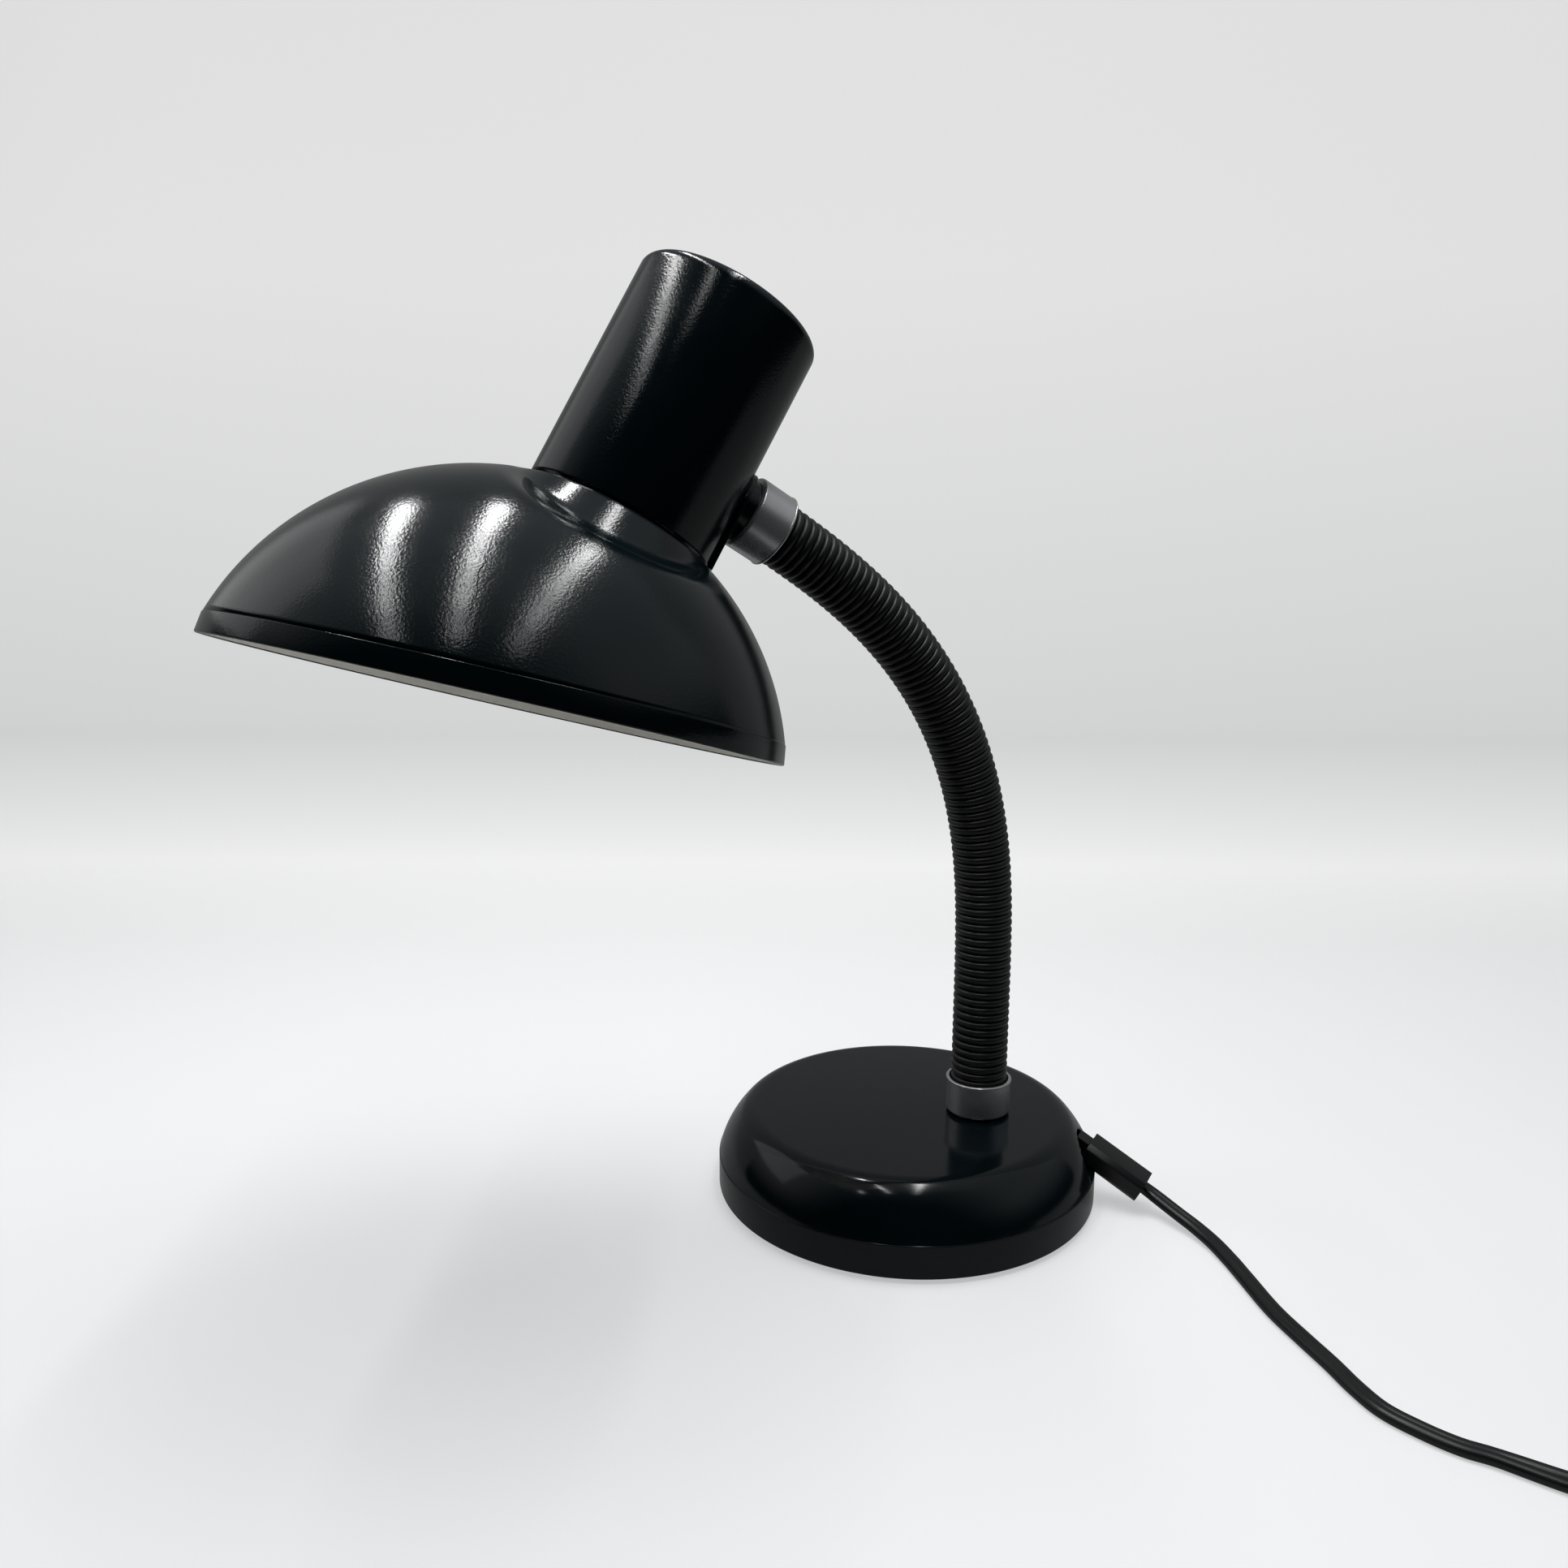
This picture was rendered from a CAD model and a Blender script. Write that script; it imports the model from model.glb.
"""Desk lamp with a bendable neck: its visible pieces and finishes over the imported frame."""

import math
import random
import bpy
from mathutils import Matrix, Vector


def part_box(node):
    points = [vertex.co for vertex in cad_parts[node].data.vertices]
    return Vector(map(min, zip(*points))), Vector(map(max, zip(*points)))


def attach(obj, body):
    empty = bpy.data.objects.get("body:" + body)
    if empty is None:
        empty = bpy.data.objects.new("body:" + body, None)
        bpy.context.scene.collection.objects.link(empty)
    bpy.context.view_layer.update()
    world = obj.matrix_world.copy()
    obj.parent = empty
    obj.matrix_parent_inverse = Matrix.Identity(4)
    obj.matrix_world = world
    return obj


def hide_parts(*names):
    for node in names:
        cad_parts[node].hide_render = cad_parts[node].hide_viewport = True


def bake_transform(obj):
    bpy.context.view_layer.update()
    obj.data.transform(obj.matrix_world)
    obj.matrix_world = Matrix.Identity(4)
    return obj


bl_info = {
    "name": "Bendable Desk Lamp",
    "version": (1, 0, 0),
    "blender": (4, 5, 0),
    "location": "3D View > Sidebar > Desk Lamp",
    "description": "Models the pieces, finishes and studio of a desk lamp with a bendable neck",
    "category": "Object",
}

import bmesh
import bpy
from mathutils import Matrix, Vector

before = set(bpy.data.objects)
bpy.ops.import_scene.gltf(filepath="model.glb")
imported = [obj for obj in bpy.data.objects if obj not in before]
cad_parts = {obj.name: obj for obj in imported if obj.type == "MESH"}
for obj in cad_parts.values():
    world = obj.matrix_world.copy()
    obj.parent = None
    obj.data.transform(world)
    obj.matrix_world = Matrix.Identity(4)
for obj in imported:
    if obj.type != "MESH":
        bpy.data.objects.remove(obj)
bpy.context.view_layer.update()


def size_of(node):
    """Lowest corner and size of a CAD node, in metres."""
    low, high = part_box(node)
    return low, [b - a for a, b in zip(low, high)]


def hex_colour(code):
    """Linear RGBA of an sRGB colour such as #1a2b3c."""
    parts = [int(code[i:i + 2], 16) / 255 for i in (1, 3, 5)]
    return [*(p / 12.92 if p <= 0.04045 else ((p + 0.055) / 1.055) ** 2.4 for p in parts), 1.0]


# Places and small sizes that follow the frame, in millimetres and degrees.
LINKS = 11                      # lengths that the neck is made of
LINK = 249.8 / LINKS            # length of one of them
FOOT_X = 26.65                  # the neck's foot on the base
FOOT_TURN = 215.4               # where it leans to
SPACER_T = 0.9
FERRULE_FLOOR = 2.5
NECK_STRAIGHT = 49.6            # the neck is upright that far
NECK_LEAN = 60.0                # lean of its upper end
HOUSE_LO = -23.0                # lower edge of the housing, from the neck's axis
BOSS_LEN = 3.9
SHADE_GAP = 1.1                 # between the housing and the dome, down the axis
EXIT_TURN = -4.0                # direction of the cord, round the base
RELIEF_ROOT = (70.2, 3.0, 18.0)
RELIEF_TURN = -16.0
RELIEF_DOWN = 27.0
COIL_AT = (243.0, -121.0)
COIL_PITCH = 3.8
COIL_LIFT = 0.7                 # the coil's lower edge above the table
LAYER_GAP = 0.4                 # between the coil's two layers
PLUG_HEAD = (0.62, 0.78)        # where the plug points


# ------------------------------------------------------------------ settings

def length(name, text, value):
    """A size that a user may change, given in millimetres."""
    return bpy.props.FloatProperty(name=name, description=text, default=value / 1000,
                                   min=0.0, precision=4, subtype="DISTANCE", unit="LENGTH")


def colour(name, text, code):
    """A colour that a user may change, given as an sRGB hex value."""
    return bpy.props.FloatVectorProperty(name=name, description=text, size=4, min=0.0, max=1.0,
                                         default=hex_colour(code), subtype="COLOR")


class LampBase(bpy.types.PropertyGroup):
    diameter: length("Diameter", "Outer diameter of the base's skirt", 1000 * size_of("base_skirt")[1][0])
    height: length("Height", "Height of the flat top above the table", 1000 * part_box("base_cover")[1][2])
    seam: length("Seam height", "Height of the seam between skirt and cover", 13.6)
    top: length("Flat top", "Diameter of the flat top, to its crease", 117.6)
    flank: length("Flank radius", "Radius of the cover's rounded flank", 34.0)
    crease: length("Crease radius", "Radius of the soft edge round the flat top", 9.0)
    sheet: length("Sheet", "Thickness of the cover", 1.2)
    slot: length("Slot radius", "Radius of the arched slot for the cord", 13.0)


class LampNeck(bpy.types.PropertyGroup):
    sleeve: length("Sleeve diameter", "Outer diameter of the ribbed sleeve", 20.4)
    bore: length("Sleeve bore", "Inner diameter of the sleeve", 14.6)
    rib: length("Rib radius", "Radius of one rounded rib", 1.42)
    ribs: bpy.props.IntProperty(name="Ribs", description="Ribs on each length of the neck",
                                default=8, min=4, max=12)
    ferrule: length("Ferrule diameter", "Outer diameter of the steel ferrules", 23.4)
    ferrule_deep: length("Ferrule depth", "Depth of the ferrule's cup", 10.0)
    ferrule_wall: length("Ferrule wall", "Wall of the ferrule", 0.9)
    boss: length("Boss diameter", "Diameter of the boss behind the upper ferrule", 20.0)


class LampHead(bpy.types.PropertyGroup):
    housing: length("Housing diameter", "Outer diameter of the socket housing", 57.8)
    housing_long: length("Housing length", "Length of the housing with its cap", 72.1)
    wall: length("Housing wall", "Wall of the housing", 1.0)
    cap: length("Cap height", "Height of the cap", 3.6)
    cap_edge: length("Cap edge", "Radius of the cap's rounded edge", 3.0)
    saddle: length("Saddle width", "Width of the saddle down the housing's back", 22.0)
    saddle_t: length("Saddle thickness", "Thickness of that saddle", 1.8)
    dome: length("Dome radius", "Radius of the domed shade", 86.5)
    rim: length("Rim diameter", "Diameter of the open rim", 167.2)
    rim_up: length("Rim height", "Height of the rim above the dome's centre", 19.7)
    lip: length("Lip height", "Height of the straight lip along the rim", 5.9)
    sheet: length("Shade sheet", "Sheet thickness of the shade", 1.0)
    hollow: length("Hollow depth", "Depth of the two hollows beside the housing", 9.0)
    hollow_r: length("Hollow radius", "Radius of the hollows where they leave the dome", 30.0)
    hollow_side: length("Hollow distance", "Sideways distance of the hollows from the housing", 28.0)
    collar: length("Collar radius", "Radius at the top of the collar that the hollows leave", 28.2)
    slope: bpy.props.FloatProperty(name="Collar slope", description="Slope of the collar's side",
                                   default=math.radians(52), subtype="ANGLE", unit="ROTATION")
    tilt: bpy.props.FloatProperty(name="Shade tilt", description="Tilt of the shade against the housing",
                                  default=math.radians(14.7), subtype="ANGLE", unit="ROTATION")
    turn: bpy.props.FloatProperty(name="Shade turn", description="Direction of that tilt",
                                  default=math.radians(-15.2), subtype="ANGLE", unit="ROTATION")


class LampCord(bpy.types.PropertyGroup):
    long: length("Length", "Whole length of the cord", 1800.0)
    width: length("Width", "Width of the flat twin cord", 5.8)
    thick: length("Thickness", "Thickness of the flat twin cord", 3.6)
    coil: length("Coil radius", "Middle radius of the coil's outer turn", 38.9)


class LampFinish(bpy.types.PropertyGroup):
    enamel: colour("Enamel", "Black stoved enamel of shade, housing and base", "#040b0e")
    inside: colour("Inside enamel", "Pale enamel inside the shade", "#e6e4dd")
    sleeve: colour("Sleeve", "Black soft PVC of the neck's sleeve", "#060809")
    steel: colour("Steel", "Brushed and nickelled steel of the ferrules", "#c6c7c9")
    cord: colour("Cord", "Black PVC of the cord and its plug", "#090a0c")
    floor: colour("Floor", "Pale floor of the studio", "#f7f8f9")
    wall: colour("Wall", "Pale wall of the studio", "#d7d8d8")


SETTINGS = {"lamp_base": LampBase, "lamp_neck": LampNeck, "lamp_head": LampHead,
            "lamp_cord": LampCord, "lamp_finish": LampFinish}


class InMillimetres:
    """A settings group whose lengths read in millimetres."""

    def __init__(self, group):
        self._group = group

    def __getattr__(self, name):
        value = getattr(self._group, name)
        is_length = self._group.bl_rna.properties[name].subtype == "DISTANCE"
        return 1000 * value if is_length else value


# ------------------------------------------------------------------ frames of the lamp

def turned_by(degrees, axis):
    return Matrix.Rotation(math.radians(degrees), 4, axis)


def moved_by(*by):
    return Matrix.Translation(by)


def eased(t):
    """A share of the way with a soft start and end."""
    return t * t * (3 - 2 * t)


def lean(s):
    """Lean of the neck, in degrees, at a length s along it."""
    t = min(1.0, max(0.0, (s - NECK_STRAIGHT) / (LINKS * LINK - NECK_STRAIGHT)))
    return NECK_LEAN * eased(t)


def bent(start, a, b, long, share):
    """Point a share of the way along an arc that turns from lean a to lean b."""
    a, turn = math.radians(a), math.radians(b - a) * share
    if abs(turn) < 1e-5:
        return start + long * share * Vector((math.sin(a), math.cos(a)))
    radius = long * share / turn
    return start + radius * Vector((math.cos(a) - math.cos(a + turn), math.sin(a + turn) - math.sin(a)))


def neck_place(context, s):
    """Frame of the neck's section at a length s along it: z runs up the neck."""
    base = InMillimetres(context.scene.lamp_base)
    at = Vector((0.0, base.height + SPACER_T + FERRULE_FLOOR))
    last = min(int(s / LINK + 1e-9), LINKS - 1)
    for i in range(last):
        at = bent(at, lean(i * LINK), lean((i + 1) * LINK), LINK, 1.0)
    share = s / LINK - last
    a, b = lean(last * LINK), lean((last + 1) * LINK)
    at = bent(at, a, b, LINK, share)
    return (moved_by(FOOT_X, 0, 0) @ turned_by(FOOT_TURN, "Z") @ moved_by(at.x, 0, at.y)
            @ turned_by(a + (b - a) * share, "Y"))


def head_place(context):
    """Frame of the head: origin where the neck's axis meets the housing's, z up the housing."""
    head = InMillimetres(context.scene.lamp_head)
    reach = head.housing / 2 + BOSS_LEN + FERRULE_FLOOR
    return neck_place(context, LINKS * LINK) @ moved_by(0, 0, reach) @ turned_by(-90, "Y")


def face_place(context):
    """Frame on the boss's face, z toward the neck."""
    head = InMillimetres(context.scene.lamp_head)
    return head_place(context) @ moved_by(-head.housing / 2 - BOSS_LEN, 0, 0) @ turned_by(-90, "Y")


def dome_place(context):
    """Frame of the dome: its centre, z up the housing, x toward the shade's tilt."""
    head = InMillimetres(context.scene.lamp_head)
    up = HOUSE_LO - SHADE_GAP - math.sqrt(head.dome ** 2 - (head.housing / 2) ** 2)
    return head_place(context) @ moved_by(0, 0, up) @ Matrix.Rotation(head.turn, 4, "Z")


def rim_place(context):
    """Frame of the shade's own axis, at the dome's centre."""
    return dome_place(context) @ Matrix.Rotation(context.scene.lamp_head.tilt, 4, "Y")


def relief_place():
    """Frame of the strain relief: x outward along it, z its upper side."""
    return (turned_by(EXIT_TURN, "Z") @ moved_by(*RELIEF_ROOT) @ turned_by(RELIEF_TURN, "Z")
            @ turned_by(RELIEF_DOWN, "Y"))


# ------------------------------------------------------------------ modelling

def arc(x, z, radius, start, end, count):
    """Points of an arc from one angle to another, in degrees, ends included."""
    angles = [math.radians(start + (end - start) * i / count) for i in range(count + 1)]
    return [(x + radius * math.cos(a), z + radius * math.sin(a)) for a in angles]


def spin_outline(bm, outline, steps, closed=True):
    """Turns an outline of (radius, height) points round Z."""
    verts = [bm.verts.new((r, 0, z)) for r, z in outline]
    pairs = list(zip(verts, verts[1:])) + ([(verts[-1], verts[0])] if closed else [])
    edges = [bm.edges.new(pair) for pair in pairs]
    bmesh.ops.spin(bm, geom=verts + edges, cent=(0, 0, 0), axis=(0, 0, 1), angle=math.tau,
                   steps=steps, use_merge=True)
    bmesh.ops.remove_doubles(bm, verts=bm.verts, dist=0.0005)
    bmesh.ops.recalc_face_normals(bm, faces=bm.faces)


def round_edges(bm, edges, radius, segments=3):
    bmesh.ops.bevel(bm, geom=edges, offset=radius, offset_type="OFFSET", segments=segments,
                    profile=0.5, affect="EDGES", material=-1, clamp_overlap=True)


def sharp_edges(bm, angle=35.0):
    return [e for e in bm.edges if len(e.link_faces) == 2 and e.calc_face_angle() > math.radians(angle)]


def make_piece(name, bm, place, finishes, body, stands_for=(), sharp=32.0):
    """Puts a piece modelled in millimetres into the scene, riding on its body."""
    bmesh.ops.transform(bm, matrix=Matrix.Scale(0.001, 4) @ place, verts=bm.verts)
    mesh = bpy.data.meshes.new(name)
    bm.to_mesh(mesh)
    bm.free()
    for finish in finishes:
        mesh.materials.append(finish)
    mesh.shade_smooth()
    mesh.set_sharp_from_angle(angle=math.radians(sharp))
    piece = bpy.data.objects.new(name, mesh)
    bpy.context.scene.collection.objects.link(piece)
    if body:
        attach(piece, body)
    if stands_for:
        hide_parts(*stands_for)
    return piece


def cut_away(piece, bm, place):
    """Cuts the closed form in bm out of a piece."""
    cutter = make_piece(piece.name + "_cut", bm, place, (), None)
    cut = piece.modifiers.new("Cut", "BOOLEAN")
    cut.operation, cut.solver, cut.object = "DIFFERENCE", "EXACT", cutter
    solid = piece.evaluated_get(bpy.context.evaluated_depsgraph_get())
    piece.data = bpy.data.meshes.new_from_object(solid)
    piece.modifiers.clear()
    bpy.data.objects.remove(cutter)


# ------------------------------------------------------------------ finishes

def add(tree, kind, inputs=None, **settings):
    """Adds a node with its settings, and with values or links on its inputs."""
    new = tree.nodes.new("ShaderNode" + kind)
    for key, value in settings.items():
        setattr(new, key, value)
    for key, value in (inputs or {}).items():
        if isinstance(value, bpy.types.NodeSocket):
            tree.links.new(value, new.inputs[key])
        else:
            new.inputs[key].default_value = value
    return new


def per_mm(size):
    """Texture scale at which a pattern's grain is that many millimetres wide."""
    return 1000.0 / size


def new_finish(name, **sockets):
    """A material with a Principled shader, and the shader's plain numbers set on its sockets."""
    material = bpy.data.materials.new(name)
    material.use_nodes = True
    tree = material.node_tree
    tree.nodes.clear()
    shader = add(tree, "BsdfPrincipled", {k.replace("_", " "): v for k, v in sockets.items()})
    add(tree, "OutputMaterial", {"Surface": shader.outputs[0]})
    return material, tree, shader


def grain(tree, shader, size, height, roughness, colours):
    """Gives a shader the bump, colour and roughness of one noise grain, sizes in millimetres."""
    place = add(tree, "TexCoord").outputs["Object"]
    fine = add(tree, "TexNoise", {"Vector": place, "Scale": per_mm(size), "Detail": 3.0})
    broad = add(tree, "TexNoise", {"Vector": place, "Scale": per_mm(24 * size), "Detail": 3.0})
    bump = add(tree, "Bump", {"Height": fine.outputs[0], "Strength": 1.0, "Distance": height / 1000})
    rough = add(tree, "MapRange", {"Value": broad.outputs[0], "From Min": 0.3, "From Max": 0.7,
                                   "To Min": roughness[0], "To Max": roughness[1]})
    tint = add(tree, "Mix", {"Factor": broad.outputs[0], "A": colours[0], "B": colours[1]},
               data_type="RGBA")
    tree.links.new(bump.outputs[0], shader.inputs["Normal"])
    tree.links.new(rough.outputs[0], shader.inputs["Roughness"])
    tree.links.new(tint.outputs[2], shader.inputs["Base Color"])


def lighter(rgba, by):
    return [min(1.0, c * by) for c in rgba[:3]] + [1.0]


def grained(name, rgba, by, size, height, roughness, **sockets):
    """A finish of one colour that its broad grain makes lighter or darker by a factor."""
    material, tree, shader = new_finish(name, **sockets)
    grain(tree, shader, size, height, roughness, (rgba[:], lighter(rgba, by)))
    return material


def shade_enamel(finish):
    """Stoved enamel sprayed on spun steel: near black and semi-gloss, with a fine orange peel."""
    return grained("Semi-gloss black stoved enamel", finish.enamel, 1.4, 0.7, 0.045, (0.12, 0.16), IOR=1.4)


def base_enamel(finish):
    """The same enamel on the pressed base, where it flowed out to a mirror gloss."""
    return grained("Gloss black stoved enamel", finish.enamel, 1.3, 1.6, 0.006, (0.1, 0.14), IOR=1.4)


def inside_enamel(finish):
    """Pale enamel inside the shade: even, matt and a little warm."""
    return grained("Pale reflector enamel", finish.inside, 0.93, 1.2, 0.01, (0.45, 0.55), IOR=1.5)


def soft_sleeve(finish):
    """Extruded soft PVC: black, satin, with a faint bloom of dust."""
    return grained("Black soft PVC sleeve", finish.sleeve, 1.6, 0.5, 0.02, (0.32, 0.42), IOR=1.46)


def cord_pvc(finish):
    """Extruded cord PVC: black and satin, smoother than the sleeve."""
    return grained("Black cord PVC", finish.cord, 1.5, 0.6, 0.012, (0.3, 0.42), IOR=1.52)


def brushed_steel(finish):
    """Turned and nickelled steel, with a fine even grain and a thin dull film."""
    return grained("Brushed nickelled steel", finish.steel, 0.86, 0.35, 0.003, (0.22, 0.28), Metallic=0.75)


def plain_metal(name, code, rough, size=0.6, height=0.02):
    """Zinc, brass or cast iron of the parts inside, with the grain of how it was made."""
    return grained(name, hex_colour(code), 0.8, size, height, (rough * 0.85, rough * 1.2), Metallic=1.0)


def moulded(name, code, rough, size=0.7, height=0.015, **sockets):
    """Moulded plastic, rubber or porcelain with its surface grain."""
    return grained(name, hex_colour(code), 0.88, size, height, (rough * 0.85, rough * 1.15),
                   **{"IOR": 1.5, **sockets})


def node_finishes(finish):
    """Finish of every CAD node that shows as it is."""
    zinc = plain_metal("Zinc-plated steel", "#a6a8aa", 0.32)
    brass = plain_metal("Turned brass", "#b5914c", 0.28)
    iron = plain_metal("Cast iron weight", "#4a4b4d", 0.6, 1.4, 0.12)
    conduit = plain_metal("Drawn steel conduit", "#7c7e80", 0.35)
    rubber = moulded("Black foam rubber pad", "#141414", 0.85, 0.9, 0.06)
    bakelite = moulded("Black moulded phenolic", "#0d0d0e", 0.25)
    porcelain = moulded("Glazed white porcelain", "#e9e7e0", 0.14, 1.5, 0.006)
    nylon = moulded("White moulded nylon", "#dedcd4", 0.42)
    opal = moulded("Opal glass", "#f3f1ea", 0.3, 2.0, 0.003, Transmission_Weight=0.15)
    tin = plain_metal("Tinned bulb cap", "#b8b6b0", 0.3)
    cord = cord_pvc(finish)
    finishes = {
        "base_pad": rubber, "base_plate": zinc, "base_weight": iron, "base_screws": zinc,
        "terminal_block": nylon, "foot_spacer": bakelite, "foot_nipple": brass,
        "foot_washer": zinc, "foot_nut": brass, "head_nipple": brass, "head_nut": brass,
        "switch_body": bakelite, "switch_nut": zinc, "switch_button": bakelite,
        "lamp_holder": porcelain, "holder_shell": nylon, "holder_contact": brass,
        "holder_bracket": zinc, "shade_ring": nylon, "bulb_glass": opal, "bulb_cap": tin,
        "coil_tie": cord, "plug_body": cord, "plug_pins": brass,
    }
    finishes.update({f"neck_core_{i:02d}": conduit for i in range(1, LINKS + 1)})
    return finishes


# ------------------------------------------------------------------ operators

class LampOperator(bpy.types.Operator):
    bl_options = {"REGISTER", "UNDO"}


class LAMP_OT_studio(LampOperator):
    """Sets the camera, the pale floor and wall, and the lights"""
    bl_idname = "lamp.studio"
    bl_label = "Studio"

    def execute(self, context):
        scene = context.scene
        scene.view_settings.view_transform = "Standard"
        self.camera(scene)
        self.floor_and_wall(scene)
        self.lights(scene)
        return {"FINISHED"}

    def camera(self, scene):
        sensor, focal_px, frame_px = 36.0, 1560.2, 1932
        data = bpy.data.cameras.new("Camera")
        data.sensor_width, data.lens = sensor, sensor * focal_px / frame_px
        camera = bpy.data.objects.new("Camera", data)
        right, up = Vector((0.98752, 0.15742, 0.00536)), Vector((-0.03407, 0.18027, 0.98303))
        back = right.cross(up)
        turn = Matrix((right, up, back)).transposed().to_4x4()
        camera.matrix_world = moved_by(0.0239, -0.4476, 0.2360) @ turn
        scene.collection.objects.link(camera)
        scene.camera = camera

    def floor_and_wall(self, scene):
        """A floor that sweeps up into the wall behind the lamp."""
        near, far, top, sweep, half = -1600.0, 640.0, 1500.0, 200.0, 1500
        outline = [(near, 0.0), (far - sweep - 300, 0.0)]
        outline += [(x, z) for x, z in arc(far - sweep, sweep, sweep, -90, 0, 16)]
        outline += [(far, top)]
        bm = bmesh.new()
        verts = [bm.verts.new((-half, y, z)) for y, z in outline]
        edges = [bm.edges.new(pair) for pair in zip(verts, verts[1:])]
        side = bmesh.ops.extrude_edge_only(bm, edges=edges)["geom"]
        bmesh.ops.translate(bm, vec=(2 * half, 0, 0),
                            verts=[v for v in side if isinstance(v, bmesh.types.BMVert)])
        for face in bm.faces:
            face.normal_update()
            if face.normal.z < -0.01 or face.normal.y > 0.5:
                face.normal_flip()
        sheet = make_piece("studio_sweep", bm, turned_by(9, "Z"), [self.paper(scene)], None)

    def paper(self, scene):
        """Matt paper that the camera sees at its own tone, with the lamp's shadow on it."""
        finish = scene.lamp_finish
        material = bpy.data.materials.new("Matt studio paper")
        material.use_nodes = True
        tree = material.node_tree
        tree.nodes.clear()
        place = add(tree, "TexCoord").outputs["Object"]
        ahead = add(tree, "Mapping", {"Vector": place, "Rotation": (0, 0, math.radians(-9))})
        parts = add(tree, "SeparateXYZ", {"Vector": ahead.outputs[0]})
        run = add(tree, "Math", {0: parts.outputs[1], 1: parts.outputs[2]}, operation="ADD")
        near, far, shaded = -0.4, 1.2, 0.7
        path = add(tree, "LightPath")
        # only reflections and light meet the dark front, the camera sees pale paper to its edge
        least = add(tree, "MapRange", {"Value": path.outputs["Is Camera Ray"],
                                       "To Min": near, "To Max": 0.05})
        shown = add(tree, "Math", {0: run.outputs[0], 1: least.outputs[0]}, operation="MAXIMUM")
        share = add(tree, "MapRange", {"Value": shown.outputs[0], "From Min": near, "From Max": far})
        ramp = add(tree, "ValToRGB", {"Fac": share.outputs[0]})
        # the paper ends in the dark in front, and turns greyer where it rises into the wall
        stops = ((-0.38, "#101112"), (-0.26, "#f5f6f6"), (0.05, finish.floor), (0.48, "#ffffff"),
                 (0.68, finish.wall), (1.1, "#e9eae9"))
        for i, (at, tone) in enumerate(stops):
            place = (at - near) / (far - near)
            stop = ramp.color_ramp.elements[i] if i < 2 else ramp.color_ramp.elements.new(place)
            stop.position, stop.color = place, hex_colour(tone) if isinstance(tone, str) else tone[:]
        # black enamel shows only a part of the bright paper, so glossy rays see it darker
        dim = add(tree, "Math", {0: path.outputs["Is Glossy Ray"], 1: shaded}, operation="MULTIPLY")
        tone = add(tree, "Mix", {"Factor": dim.outputs[0], "A": ramp.outputs[0], "B": (0, 0, 0, 1)},
                   data_type="RGBA").outputs[2]
        seen = add(tree, "Math", {0: path.outputs["Is Camera Ray"], 1: path.outputs["Is Glossy Ray"]},
                   operation="ADD")
        seen = add(tree, "Math", {0: seen.outputs[0], 1: path.outputs["Is Transmission Ray"]},
                   operation="ADD", use_clamp=True)
        own = add(tree, "MapRange", {"Value": run.outputs[0], "From Min": 0.3, "From Max": 0.7,
                                     "To Min": 0.5, "To Max": 0.85})
        share = add(tree, "Math", {0: seen.outputs[0], 1: own.outputs[0]}, operation="MULTIPLY")
        glow = add(tree, "Emission", {"Color": tone, "Strength": 1.02})
        matt = add(tree, "BsdfDiffuse", {"Color": tone})
        both = add(tree, "MixShader", {0: share.outputs[0], 1: matt.outputs[0], 2: glow.outputs[0]})
        add(tree, "OutputMaterial", {"Surface": both.outputs[0]})
        return material

    def lights(self, scene):
        """Three long strips that dim toward the lamp's front, a soft light to its left, a dark front."""
        sky_glow, pale_air = 0.42, 0.72
        world = bpy.data.worlds.new("Studio air")
        world.use_nodes = True
        tree = world.node_tree
        parts = add(tree, "SeparateXYZ", {"Vector": add(tree, "TexCoord").outputs["Generated"]})
        back = add(tree, "MapRange", {"Value": parts.outputs[1], "From Min": -0.75, "From Max": -0.1},
                   interpolation_type="SMOOTHSTEP")
        above = add(tree, "MapRange", {"Value": parts.outputs[2], "From Min": 0.05, "From Max": 0.5},
                    interpolation_type="SMOOTHSTEP")
        glow = add(tree, "Math", {0: back.outputs[0], 1: above.outputs[0]}, operation="MULTIPLY")
        glow = add(tree, "Math", {0: glow.outputs[0], 1: sky_glow}, operation="MULTIPLY")
        # the camera sees pale air all round, so the black lamp stands out from every side
        camera = add(tree, "Math", {0: add(tree, "LightPath").outputs["Is Camera Ray"], 1: pale_air},
                     operation="MULTIPLY")
        glow = add(tree, "Math", {0: glow.outputs[0], 1: camera.outputs[0]}, operation="MAXIMUM")
        sky = tree.nodes["Background"]
        sky.inputs["Color"].default_value = hex_colour("#eaedf0")
        tree.links.new(glow.outputs[0], sky.inputs["Strength"])
        scene.world = world
        height = 0.57
        for name, back, front, wide, radiance in (
                ("left", (-0.292, 0.03), (-0.235, -0.46), 0.016, 56.0),
                ("middle", (-0.136, 0.04), (-0.065, -0.42), 0.018, 50.0),
                ("right", (0.045, 0.05), (0.095, -0.40), 0.024, 28.0)):
            back, front = Vector((*back, height)), Vector((*front, height))
            shares = (1.0, 0.75, 0.45, 0.2)
            for part, share in enumerate(shares):
                first, last = (back.lerp(front, (part + k) / len(shares)) for k in (0, 1))
                self.area(scene, f"Strip {name} {part}", first, last, wide, radiance * share, (0, 0, -1))
        self.area(scene, "Soft side", Vector((-0.72, -0.22, 0.58)), Vector((-0.76, 0.42, 0.58)),
                  0.5, 0.5, (0.85, -0.1, -0.4))
        fill = self.area(scene, "Fill", Vector((-0.2, 0.05, 0.9)), Vector((0.4, 0.0, 0.9)),
                         0.5, 2.4, (0, 0, -1))
        fill.visible_glossy = False

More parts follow.
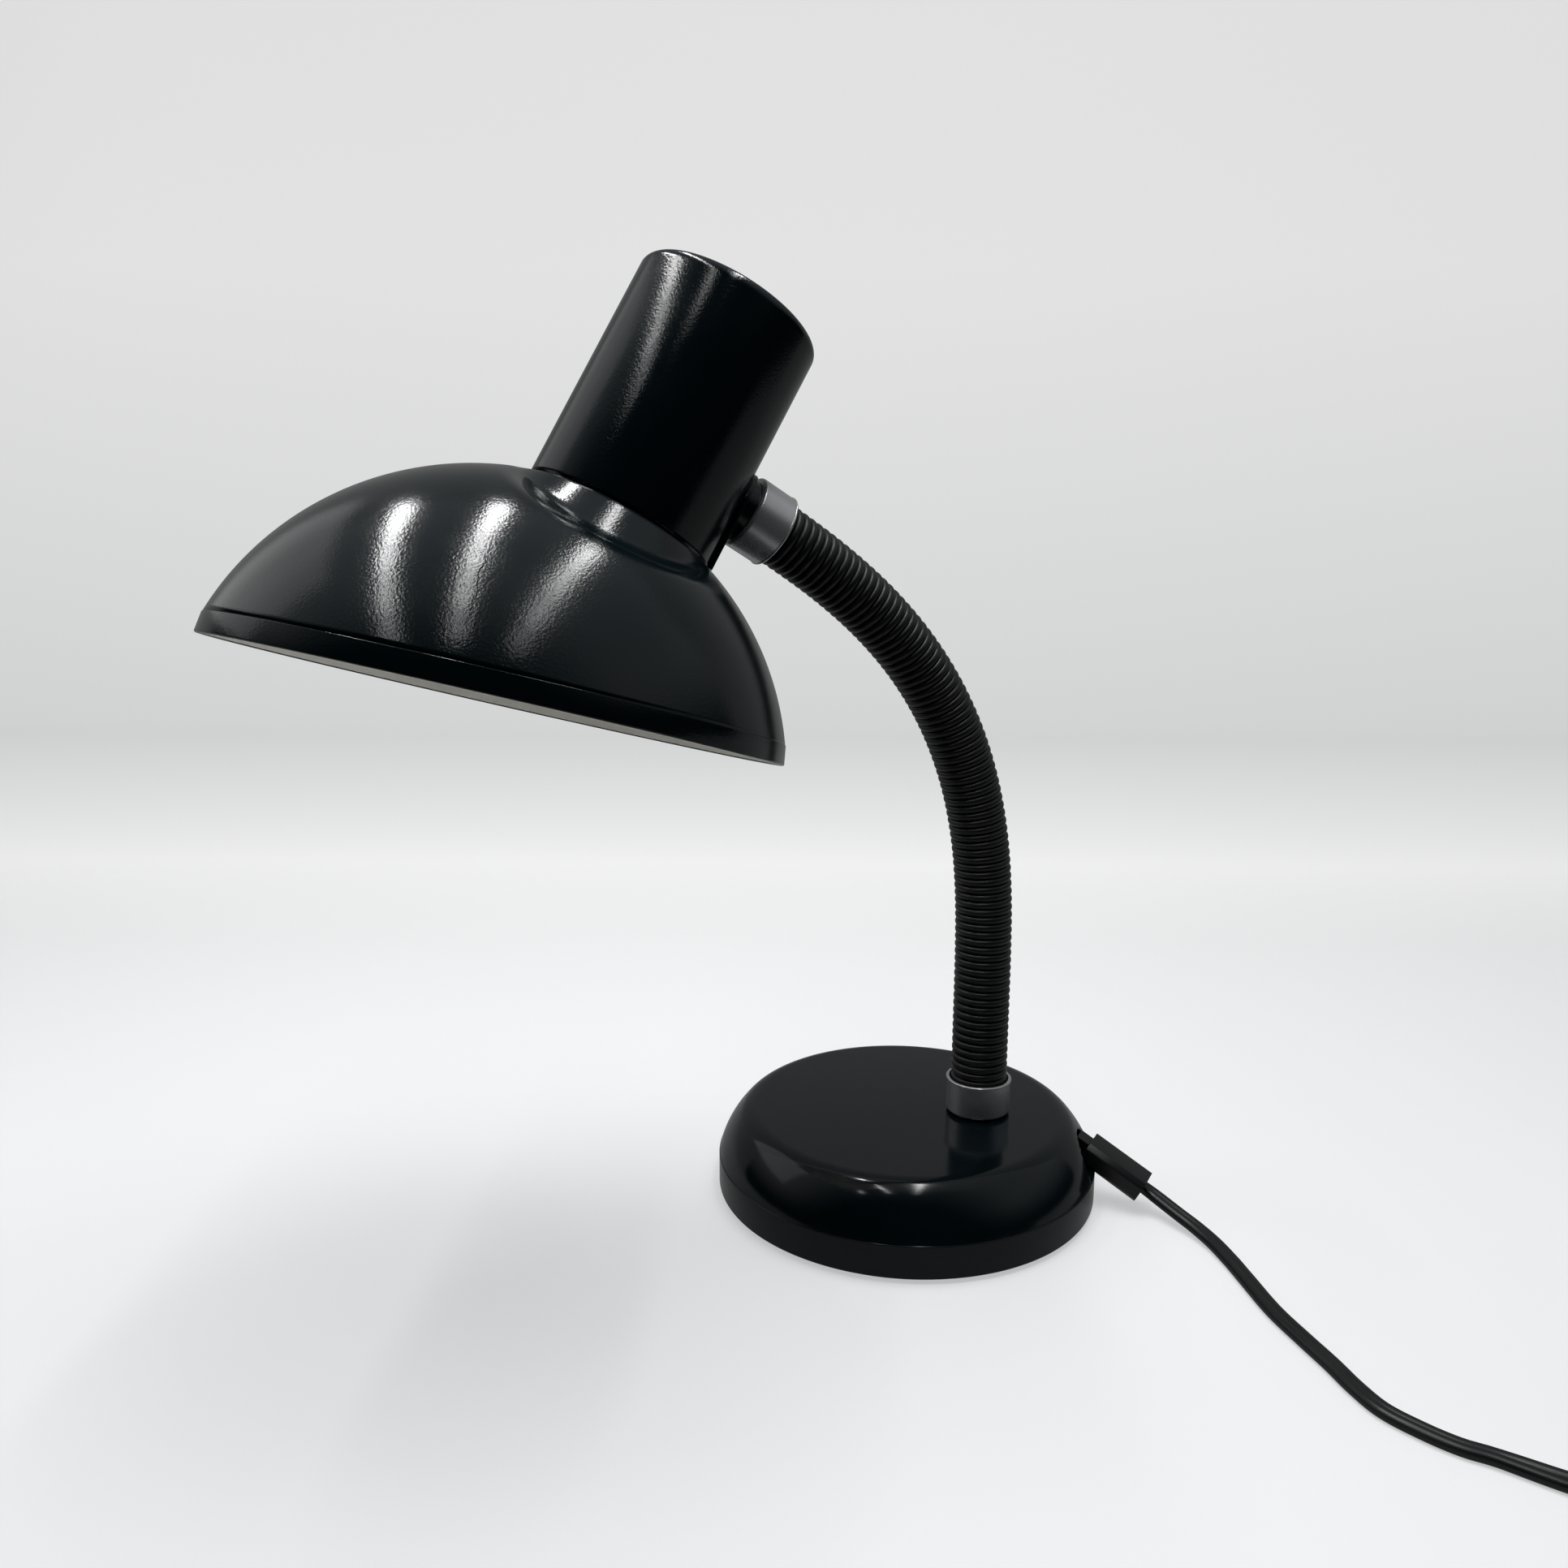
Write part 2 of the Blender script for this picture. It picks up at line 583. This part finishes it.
    def area(self, scene, name, first, last, wide, radiance, facing):
        """An area light between two points, given by its radiance and not its power."""
        along = (last - first).normalized()
        away = -Vector(facing)
        away = (away - along * away.dot(along)).normalized()
        data = bpy.data.lights.new(name, "AREA")
        data.shape, data.size, data.size_y = "RECTANGLE", (last - first).length, wide
        data.energy = radiance * math.pi * data.size * wide
        light = bpy.data.objects.new(name, data)
        turn = Matrix((along, away.cross(along), away)).transposed().to_4x4()
        light.matrix_world = moved_by(*((first + last) / 2)) @ turn
        scene.collection.objects.link(light)
        return light


# points of the cord's free run, in millimetres
CORD_ROUTE = [(98, -17.6, 4.8), (103, -23, 3.4), (108, -31, 2.4), (112, -41, 1.9), (115, -51, 1.8),
              (120, -68, 1.8), (126, -82, 1.8), (131, -93, 1.8), (135, -103, 1.8), (140, -112, 1.8),
              (148, -119, 1.8), (156, -124, 1.8), (164, -127, 1.9), (178, -134, 2.3), (190, -139, 2.75),
              (202, -144, 3.1), (212, -149, 3.3), (219, -152, 3.6)]


class LAMP_OT_cord(LampOperator):
    """Lays the flat twin cord from its relief to the coil and the plug"""
    bl_idname = "lamp.cord"
    bl_label = "Cord"

    relief_long, recess = 19.5, 1.0
    turns_in, turns_out = 4.0, 3.572

    def stations(self, cord):
        """Points of the cord's middle line, each with its twist: 0 lies flat, 1 stands on edge."""
        relief = relief_place()
        start = relief @ Vector((self.relief_long - self.recess, 0, 0))
        ahead = relief.to_3x3() @ Vector((5, 0, 0))
        line = [(start, 0.0), (start + ahead, 0.0)]
        # the cord turns on edge over four points before the coil
        line += [(Vector(point), min(1.0, max(0.0, (i - 12) / 4))) for i, point in enumerate(CORD_ROUTE)]
        centre = Vector((*COIL_AT, 0))
        first = math.atan2(-156 - COIL_AT[1], 226 - COIL_AT[0])
        low, high = COIL_LIFT + cord.width / 2, COIL_LIFT + 1.5 * cord.width + LAYER_GAP
        on_top = COIL_LIFT + 2 * cord.width + LAYER_GAP + cord.thick / 2

        def at(angle, radius, z):
            return centre + Vector((radius * math.cos(angle), radius * math.sin(angle), z))

        per_turn = 30
        inner = cord.coil - self.turns_in * COIL_PITCH
        for k in range(int(self.turns_in * per_turn) + 1):
            t = k / per_turn
            line.append((at(first + math.tau * t, cord.coil - COIL_PITCH * t, low), 1.0))
        angle, climb = first + math.tau * self.turns_in, math.radians(70)
        for k in range(1, 7):
            t = k / 6
            line.append((at(angle + t * climb, inner, low + (high - low) * eased(t)), 1.0))
        angle += climb
        steps = int(self.turns_out * per_turn)
        outer = inner + COIL_PITCH * 4
        for k in range(1, steps + 1):
            t = k / steps
            line.append((at(angle + math.tau * self.turns_out * t,
                            inner + (outer - inner) * t, high), 1.0))
        angle += math.tau * self.turns_out
        up, over = math.radians(60), math.radians(50)
        for k in range(1, 9):
            t = k / 8
            ease = eased(t)
            line.append((at(angle + t * up, outer, high + (on_top - high) * ease), 1.0 - ease))
        for k in range(1, 6):
            t = k / 5
            ease = eased(t)
            line.append((at(angle + up + t * over, outer - 7.4 * ease, on_top), 0.0))
        end = Vector((263, -145, 19.2))
        line += [(Vector((250, -151.3, 15.4)), 0.0), (Vector((257, -149, 17.8)), 0.0), (end, 0.0)]
        line.append((end + 3 * Vector((*PLUG_HEAD, 0)), 0.0))
        return line

    def smooth(self, line, step=1.6):
        """The line again as one smooth curve with close points."""
        fine = []
        for i in range(len(line) - 1):
            p = [line[min(max(i + k, 0), len(line) - 1)] for k in (-1, 0, 1, 2)]
            count = max(1, round((p[2][0] - p[1][0]).length / step))
            for k in range(count):
                t = k / count
                point = 0.5 * (2 * p[1][0] + (p[2][0] - p[0][0]) * t
                               + (2 * p[0][0] - 5 * p[1][0] + 4 * p[2][0] - p[3][0]) * t * t
                               + (3 * (p[1][0] - p[2][0]) + p[3][0] - p[0][0]) * t ** 3)
                fine.append((point, p[1][1] + (p[2][1] - p[1][1]) * t))
        return fine + [line[-1]]

    def section(self, cord):
        """Outline of the flat twin cord: two round cores side by side."""
        lobe = cord.thick / 2
        apart = cord.width / 2 - lobe
        meet = math.degrees(math.acos(-apart / lobe))
        return (arc(apart, 0, lobe, -meet, meet, 12)[:-1]
                + [(-x, -y) for x, y in arc(apart, 0, lobe, -meet, meet, 12)[:-1]])

    def execute(self, context):
        cord = InMillimetres(context.scene.lamp_cord)
        line = self.smooth(self.stations(cord))
        bm = bmesh.new()
        ring = [bm.verts.new((x, y, 0)) for x, y in self.section(cord)]
        edges = [bm.edges.new((a, b)) for a, b in zip(ring, ring[1:] + ring[:1])]
        bm.faces.new(ring)
        before = Matrix.Identity(4)
        for i, (point, twist) in enumerate(line):
            ahead = (line[min(i + 1, len(line) - 1)][0] - line[max(i - 1, 0)][0]).normalized()
            side = Vector((0, 0, 1)).cross(ahead).normalized()
            place = Matrix((side, ahead.cross(side), ahead)).transposed().to_4x4()
            place = moved_by(*point) @ place @ turned_by(90 * twist, "Z")
            if i:
                grown = bmesh.ops.extrude_edge_only(bm, edges=edges)["geom"]
                ring = [g for g in grown if isinstance(g, bmesh.types.BMVert)]
                edges = [g for g in grown if isinstance(g, bmesh.types.BMEdge)
                         and g.verts[0] in set(ring) and g.verts[1] in set(ring)]
            bmesh.ops.transform(bm, matrix=place @ before.inverted(), verts=ring)
            before = place
        bmesh.ops.contextual_create(bm, geom=edges)
        bmesh.ops.recalc_face_normals(bm, faces=bm.faces)
        piece = make_piece("cord_twin", bm, Matrix.Identity(4), [cord_pvc(context.scene.lamp_finish)],
                           "base", ("cord_lead", "cord_coil", "cord_tail"), sharp=50)
        path = [list(point / 1000) for point, _ in line]
        context.scene.lamp_cord.long
        cord.width / 1000
        return {"FINISHED"}


class LAMP_OT_relief(LampOperator):
    """Models the strain relief where the cord leaves the base"""
    bl_idname = "lamp.relief"
    bl_label = "Strain relief"

    def execute(self, context):
        long, back, wide, high, cut, rim = 20.0, 3.5, 13.0, 8.8, 2.0, 1.0
        w, h = wide / 2, high / 2
        bm = bmesh.new()
        outline = [(-w + cut, -h), (w - cut, -h), (w, -h + cut), (w, h - cut), (w - cut, h),
                   (-w + cut, h), (-w, h - cut), (-w, -h + cut)]
        root = bm.faces.new([bm.verts.new((-back, y, z)) for y, z in outline])
        grown = bmesh.ops.extrude_face_region(bm, geom=[root])["geom"]
        end = next(g for g in grown if isinstance(g, bmesh.types.BMFace))
        bmesh.ops.translate(bm, vec=(back + long, 0, 0), verts=end.verts)
        bmesh.ops.inset_region(bm, faces=[end], thickness=1.3, use_even_offset=True)
        bmesh.ops.translate(bm, vec=(-rim, 0, 0), verts=end.verts)
        bmesh.ops.recalc_face_normals(bm, faces=bm.faces)
        round_edges(bm, sharp_edges(bm), 0.35)
        bmesh.ops.create_cube(bm, size=1.0, matrix=moved_by(-5.5, 0, 0) @ Matrix.Diagonal((6, 6, 5, 1)))
        make_piece("relief_grip", bm, relief_place(), [cord_pvc(context.scene.lamp_finish)],
                   "base", ("cord_relief",))
        return {"FINISHED"}


class LAMP_OT_base(LampOperator):
    """Models the enamelled cover and skirt of the base"""
    bl_idname = "lamp.base"
    bl_label = "Base"

    def cover_outline(self, base, gap):
        """Section of the cover: flank, soft crease and flat top, then back inside the sheet."""
        low = base.seam + gap
        cover_r, top_r = base.diameter / 2 - 0.25, base.top / 2
        dx, dz = cover_r - top_r, base.height - low
        chord = math.hypot(dx, dz)
        off = math.sqrt(base.flank ** 2 - chord ** 2 / 4)
        x = (cover_r + top_r) / 2 - off * dz / chord
        z = (low + base.height) / 2 - off * dx / chord
        crease_z = base.height - base.crease
        crease_x = x + math.sqrt((base.flank - base.crease) ** 2 - (crease_z - z) ** 2)
        joint = math.degrees(math.atan2(crease_z - z, crease_x - x))

        def wall(inset):
            first = math.degrees(math.asin((low - z) / (base.flank - inset)))
            return (arc(x, z, base.flank - inset, first, joint, 30)[:-1]
                    + arc(crease_x, crease_z, base.crease - inset, joint, 90, 16))

        outer, inner = wall(0.0), wall(base.sheet)
        return outer + [(0.0, base.height), (0.0, base.height - base.sheet)] + inner[::-1]

    def execute(self, context):
        base = InMillimetres(context.scene.lamp_base)
        enamel = base_enamel(context.scene.lamp_finish)
        gap = 0.15
        bm = bmesh.new()
        spin_outline(bm, self.cover_outline(base, gap), 192)
        cover = make_piece("base_cover_enamel", bm, Matrix.Identity(4), [enamel], "base", ("base_cover",))
        slot = bmesh.new()
        deep = 50
        bmesh.ops.create_cone(slot, cap_ends=True, segments=64, radius1=base.slot, radius2=base.slot,
                              depth=deep, matrix=moved_by(base.top / 2 - 8 + deep / 2, 0, base.seam + gap)
                              @ turned_by(90, "Y"))
        cut_away(cover, slot, turned_by(EXIT_TURN, "Z"))

        bm = bmesh.new()
        outer, edge = base.diameter / 2, 0.9
        low, ledge = 1.5, 2.7
        outline = ([(outer - 1.4, low)] + arc(outer - edge, low + edge, edge, -90, 0, 6)
                   + arc(outer - 0.5, base.seam - 0.5, 0.5, 0, 90, 6)
                   + [(outer - 3.7, base.seam), (outer - 3.7, base.seam + 2.9),
                      (outer - 5.2, base.seam + 2.9), (outer - 5.2, ledge), (outer - 1.4, ledge)])
        spin_outline(bm, outline, 192)
        make_piece("base_skirt_ring", bm, Matrix.Identity(4), [enamel], "base", ("base_skirt",))
        return {"FINISHED"}


def ferrule_outline(neck):
    """Section of a ferrule: a cup with a rounded floor edge and a rolled mouth."""
    outer, high = neck.ferrule / 2, FERRULE_FLOOR + neck.ferrule_deep
    inner, roll = outer - neck.ferrule_wall, 0.45
    return ([(5.15, 0.0)] + arc(outer - 0.8, 0.8, 0.8, -90, 0, 6)
            + [(outer, high - 2.2 * roll)] + arc(outer - roll + 0.25, high - roll, roll, -60, 90, 8)
            + arc(inner + 0.2, high - 0.2, 0.2, 90, 180, 3)
            + [(inner, FERRULE_FLOOR), (5.15, FERRULE_FLOOR)])


class LAMP_OT_neck(LampOperator):
    """Models the ribbed sleeve, in lengths that bend at the neck's joints, and both ferrules"""
    bl_idname = "lamp.neck"
    bl_label = "Neck"

    def sleeve(self, context, neck, start, end):
        """One length of the sleeve, with a round rib for each turn, bent along the neck."""
        pitch = LINK / neck.ribs
        per_rib, around = 12, 48
        rows = round((end - start) / pitch * per_rib)
        outer = [start + (end - start) * i / rows for i in range(rows + 1)]
        inner = outer[::per_rib // 2] + ([outer[-1]] if rows % (per_rib // 2) else [])
        bm = bmesh.new()
        spin_outline(bm, [(neck.sleeve / 2, s) for s in outer] + [(neck.bore / 2, s) for s in inner[::-1]],
                     around)
        places = {}
        for vert in bm.verts:
            s = vert.co.z
            key = round(s, 4)
            if key not in places:
                places[key] = neck_place(context, s)
            flat = vert.co.xy
            if flat.length > (neck.sleeve + neck.bore) / 4:
                valley = abs(2 * ((s / pitch) % 1.0) - 1)
                drop = neck.rib * (1 - math.sqrt(max(0.0, 1 - 0.96 * valley ** 2)))
                flat = flat * ((flat.length - drop) / flat.length)
            vert.co = places[key] @ Vector((*flat, 0))
        bmesh.ops.recalc_face_normals(bm, faces=bm.faces)
        return bm

    def execute(self, context):
        neck = InMillimetres(context.scene.lamp_neck)
        pvc = soft_sleeve(context.scene.lamp_finish)
        steel = brushed_steel(context.scene.lamp_finish)
        for j in range(1, LINKS):
            start = 0.0 if j == 1 else (j - 0.5) * LINK
            end = LINKS * LINK if j == LINKS - 1 else (j + 0.5) * LINK
            nodes = [f"neck_sleeve_{j:02d}"] + ([f"neck_sleeve_{LINKS}"] if j == LINKS - 1 else [])
            piece = make_piece(f"sleeve_length_{j:02d}", self.sleeve(context, neck, start, end),
                               Matrix.Identity(4), [pvc], None, nodes, sharp=60)
            low, high = (neck_place(context, (j + k) * LINK).translation / 1000 for k in (-0.5, 0.5))
            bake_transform(piece)
        foot = moved_by(FOOT_X, 0, 1000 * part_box("foot_ferrule")[0][2])
        for name, place, body in (("foot_ferrule", foot, "base"),
                                  ("head_ferrule", face_place(context), "head")):
            bm = bmesh.new()
            spin_outline(bm, ferrule_outline(neck), 96)
            make_piece(name + "_steel", bm, place, [steel], body, (name,))
        return {"FINISHED"}


class LAMP_OT_housing(LampOperator):
    """Models the socket housing, its cap and the saddle with the boss for the neck"""
    bl_idname = "lamp.housing"
    bl_label = "Socket housing"

    def saddle(self, head):
        """Plate bent round the housing's back: round at the top, straight down to the lower edge."""
        r, half = head.housing / 2, head.saddle / 2
        bm = bmesh.new()
        bmesh.ops.create_grid(bm, x_segments=24, y_segments=36, size=1.0)
        for vert in bm.verts:
            y, z = vert.co.x, vert.co.y * 0.5 + 0.5
            z = z * (half - HOUSE_LO) + HOUSE_LO
            v = max(0.0, z) / half
            y, z = y * math.sqrt(1 - v * v / 2), z if z <= 0 else z * math.sqrt(1 - y * y / 2)
            vert.co = (0, y * half, z)
        for vert in bm.verts:
            vert.co.x = -math.sqrt(r * r - vert.co.y ** 2)
        grown = bmesh.ops.extrude_face_region(bm, geom=bm.faces[:])["geom"]
        for vert in (g for g in grown if isinstance(g, bmesh.types.BMVert)):
            vert.co.xy *= (r + head.saddle_t) / r
        bmesh.ops.recalc_face_normals(bm, faces=bm.faces)
        round_edges(bm, sharp_edges(bm, 50), 0.5, 3)
        return bm

    def execute(self, context):
        head, neck = InMillimetres(context.scene.lamp_head), InMillimetres(context.scene.lamp_neck)
        enamel = shade_enamel(context.scene.lamp_finish)
        place = head_place(context)
        r, top = head.housing / 2, HOUSE_LO + head.housing_long
        seam = top - head.cap
        edge = 0.4
        bm = bmesh.new()
        spin_outline(bm, arc(r - head.wall + edge, HOUSE_LO + edge, edge, 180, 270, 4)
                     + arc(r - edge, HOUSE_LO + edge, edge, -90, 0, 4)
                     + [(r, seam), (r - head.wall, seam)], 160)
        make_piece("housing_enamel", bm, place, [enamel], "head", ("socket_housing",))
        bm = bmesh.new()
        sunk, floor, bush = r - 6, top - 1.0, 6.8
        spin_outline(bm, [(bush, seam), (r, seam)]
                     + arc(r - head.cap_edge, top - head.cap_edge, head.cap_edge, 0, 90, 16)
                     + arc(sunk + 0.3, top - 0.3, 0.3, 90, 180, 4) + [(sunk, floor), (bush, floor)], 160)
        make_piece("cap_enamel", bm, place, [enamel], "head", ("housing_cap",))
        bm = self.saddle(head)
        boss = bmesh.new()
        reach = BOSS_LEN + 4
        spin_outline(boss, [(5.15, -reach), (neck.boss / 2, -reach), (neck.boss / 2, -0.5)]
                     + arc(neck.boss / 2 - 0.4, -0.4, 0.4, 0, 90, 4) + [(5.15, 0.0)], 96)
        bmesh.ops.transform(boss, matrix=place.inverted() @ face_place(context), verts=boss.verts)
        part = bpy.data.meshes.new("boss")
        boss.to_mesh(part)
        boss.free()
        bm.from_mesh(part)
        bpy.data.meshes.remove(part)
        make_piece("saddle_and_boss", bm, place, [enamel], "head", ("head_boss",))
        return {"FINISHED"}


class LAMP_OT_shade(LampOperator):
    """Models the domed shade with its two hollows, and the lip along its rim"""
    bl_idname = "lamp.shade"
    bl_label = "Shade"

    steps, rows_near, rows_far = 256, 64, 40
    # cracks in the lacquer: half the width in mm, then down and round the dome at both ends, in degrees
    crack_ends = ((0.18, 67, 57, 65, 62), (0.14, 66, 60, 62, 64),
                  (0.36, 53, 68, 69, 76), (0.22, 49, 86, 48, 88))

    def surface(self, head, direction):
        """Distance of the shade's outside from the dome's centre, along a direction in its frame."""
        r = min(head.dome, self.flat / max(direction.z, 1e-6)) if direction.z > 0.5 else head.dome
        fore, soft, foot, dent = 2.0, 3.0, 2.5, r
        for side in (-1, 1):
            towards = Vector((fore, side * head.hollow_side,
                              math.sqrt(head.dome ** 2 - fore ** 2 - head.hollow_side ** 2))) / head.dome
            along = self.tool_at * direction.dot(towards)
            inside = along * along - self.tool_at ** 2 + self.tool_r ** 2
            if inside > 0:
                dent = self.lower(dent, along - math.sqrt(inside), soft)
        # the collar's side is a cone, out to where it meets the hollow's floor
        across, slope = math.hypot(direction.x, direction.y), math.tan(head.slope)
        cone = (self.flat + head.collar * slope) / (direction.z + across * slope)
        return min(r, -self.lower(-dent, -cone, foot))

    def cracks(self, context, head):
        """Fine cracks in the lacquer, as thin dark slivers that taper out at their ends."""
        bm, rng = bmesh.new(), random.Random(7)
        deep, proud, step, keep, wander, tip = 0.05, 0.02, 0.8, 0.8, 0.45, 0.15
        for half, down, about, last_down, last_about in self.crack_ends:
            pieces = max(5, int(math.hypot(last_down - down, last_about - about) / step))
            line, stray = [], 0.0
            for i in range(pieces + 1):
                stray = keep * stray + rng.uniform(-wander, wander)
                share = i / pieces
                line.append(self.on_dome(head, math.radians(down + (last_down - down) * share),
                                         math.radians(about + (last_about - about) * share + stray)))
            rings = []
            for i, at in enumerate(line):
                along = (line[min(i + 1, pieces)] - line[max(i - 1, 0)]).normalized()
                out = at.normalized()
                across = along.cross(out).normalized() * half * (tip + math.sin(math.pi * i / pieces))
                rings.append([bm.verts.new(at + v)
                              for v in (across - out * deep, out * proud, -across - out * deep)])
            for one, two in zip(rings, rings[1:]):
                for k in range(3):
                    bm.faces.new((one[k], one[(k + 1) % 3], two[(k + 1) % 3], two[k]))
            bm.faces.new(rings[0][::-1])
            bm.faces.new(rings[-1])
        bmesh.ops.recalc_face_normals(bm, faces=bm.faces)
        dark = new_finish("Dirt in cracked lacquer", Roughness=0.9, IOR=1.3,
                          Base_Color=hex_colour("#020303"))[0]
        make_piece("dome_cracks", bm, dome_place(context), [dark], "head")

    def on_dome(self, head, down, about):
        """The point of the dome's outside at two angles in its frame."""
        direction = Vector((math.sin(down) * math.cos(about), math.sin(down) * math.sin(about),
                            math.cos(down)))
        return direction * self.surface(head, direction)

    def lower(self, a, b, soft):
        """The smaller of two distances, with a soft change from one to the other."""
        h = min(1.0, max(0.0, 0.5 + 0.5 * (b - a) / soft))
        return b + (a - b) * h - soft * h * (1 - h)

    def dome(self, head):
        sag = head.dome - math.sqrt(head.dome ** 2 - head.hollow_r ** 2)
        rise = head.hollow - sag
        self.tool_r = (head.hollow_r ** 2 + rise ** 2) / (2 * rise)
        self.tool_at = head.dome - head.hollow + self.tool_r
        lift, holder_r = 0.8, 14.3
        self.flat = SHADE_GAP + math.sqrt(head.dome ** 2 - (head.housing / 2) ** 2) + lift
        lip_top = head.rim_up + head.lip
        hole = math.asin(holder_r / head.dome)
        near = math.radians(38)
        bm = bmesh.new()
        count = self.rows_near + self.rows_far
        spin_outline(bm, [(1.0, float(count - i)) for i in range(count + 1)], self.steps, closed=False)
        for vert in bm.verts:
            row = count - vert.co.z
            phi = math.atan2(vert.co.y, vert.co.x)
            a, b = math.cos(phi) * math.sin(head.tilt), math.cos(head.tilt)
            last = math.atan2(a, b) + math.acos(lip_top / head.dome / math.hypot(a, b))
            if row <= self.rows_near:
                theta = hole + (near - hole) * row / self.rows_near
            else:
                theta = near + (last - near) * (row - self.rows_near) / self.rows_far
            vert.co = self.on_dome(head, theta, phi)
        bmesh.ops.recalc_face_normals(bm, faces=bm.faces)
        if max(bm.faces, key=lambda f: f.calc_center_median().z).normal.z < 0:
            bmesh.ops.reverse_faces(bm, faces=bm.faces)
        return bm

    def execute(self, context):
        head = InMillimetres(context.scene.lamp_head)
        finish = context.scene.lamp_finish
        enamel, pale = shade_enamel(finish), inside_enamel(finish)
        dome = make_piece("shade_dome", self.dome(head), dome_place(context), [enamel, pale], "head",
                          ("shade",), sharp=40)
        sheet = dome.modifiers.new("Sheet", "SOLIDIFY")
        sheet.thickness, sheet.offset, sheet.use_even_offset = head.sheet / 1000, -1.0, True
        sheet.material_offset, sheet.material_offset_rim = 1, 1

        lip_top = head.rim_up + head.lip
        lip_r = math.sqrt(head.dome ** 2 - lip_top ** 2)
        rim_r, step, roll = head.rim / 2, 0.2, 0.5
        bm = bmesh.new()
        outline = (arc(rim_r - roll - 0.05, head.rim_up + roll, roll, -90, 0, 6)
                   + arc(lip_r + step - 0.2, lip_top - 0.2, 0.2, 0, 90, 4)
                   + [(lip_r - 0.6, lip_top), (lip_r - head.sheet - 0.3, lip_top),
                      (lip_r - head.sheet - 0.3, head.rim_up + 0.4), (lip_r - head.sheet + 0.1, head.rim_up)])
        spin_outline(bm, outline, 256)
        for face in bm.faces:
            middle = face.calc_center_median()
            if math.hypot(middle.x, middle.y) < lip_r - head.sheet - 0.25:
                face.material_index = 1
        make_piece("shade_lip", bm, rim_place(context), [enamel, pale], "head")
        self.cracks(context, head)
        return {"FINISHED"}


class LAMP_OT_fittings(LampOperator):
    """Gives every part that shows as it is, its own finish"""
    bl_idname = "lamp.fittings"
    bl_label = "Fittings"

    def execute(self, context):
        for name, finish in node_finishes(context.scene.lamp_finish).items():
            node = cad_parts[name]
            if not node.material_slots:
                node.data.materials.append(None)
            for place in node.material_slots:
                place.material = finish
        return {"FINISHED"}


class LAMP_PT_panel(bpy.types.Panel):
    """Lists the lamp's pieces and their sizes"""
    bl_idname = "LAMP_PT_panel"
    bl_label = "Desk Lamp"
    bl_space_type = "VIEW_3D"
    bl_region_type = "UI"
    bl_category = "Desk Lamp"

    def draw(self, context):
        layout = self.layout
        for piece in PIECES:
            layout.operator(piece.bl_idname)
        for name, group in SETTINGS.items():
            box = layout.box()
            for prop in group.__annotations__:
                box.prop(getattr(context.scene, name), prop)


# the camera and the cord come first
PIECES = (LAMP_OT_studio, LAMP_OT_cord, LAMP_OT_relief, LAMP_OT_base, LAMP_OT_neck, LAMP_OT_housing,
          LAMP_OT_shade, LAMP_OT_fittings)


def register():
    for kind in (*SETTINGS.values(), *PIECES, LAMP_PT_panel):
        bpy.utils.register_class(kind)
    for name, kind in SETTINGS.items():
        setattr(bpy.types.Scene, name, bpy.props.PointerProperty(type=kind))


def unregister():
    for name in SETTINGS:
        delattr(bpy.types.Scene, name)
    for kind in reversed((*SETTINGS.values(), *PIECES, LAMP_PT_panel)):
        bpy.utils.unregister_class(kind)


def main():
    register()
    for piece in PIECES:
        group, name = piece.bl_idname.split(".")
        getattr(getattr(bpy.ops, group), name)()


if __name__ == "__main__":
    main()
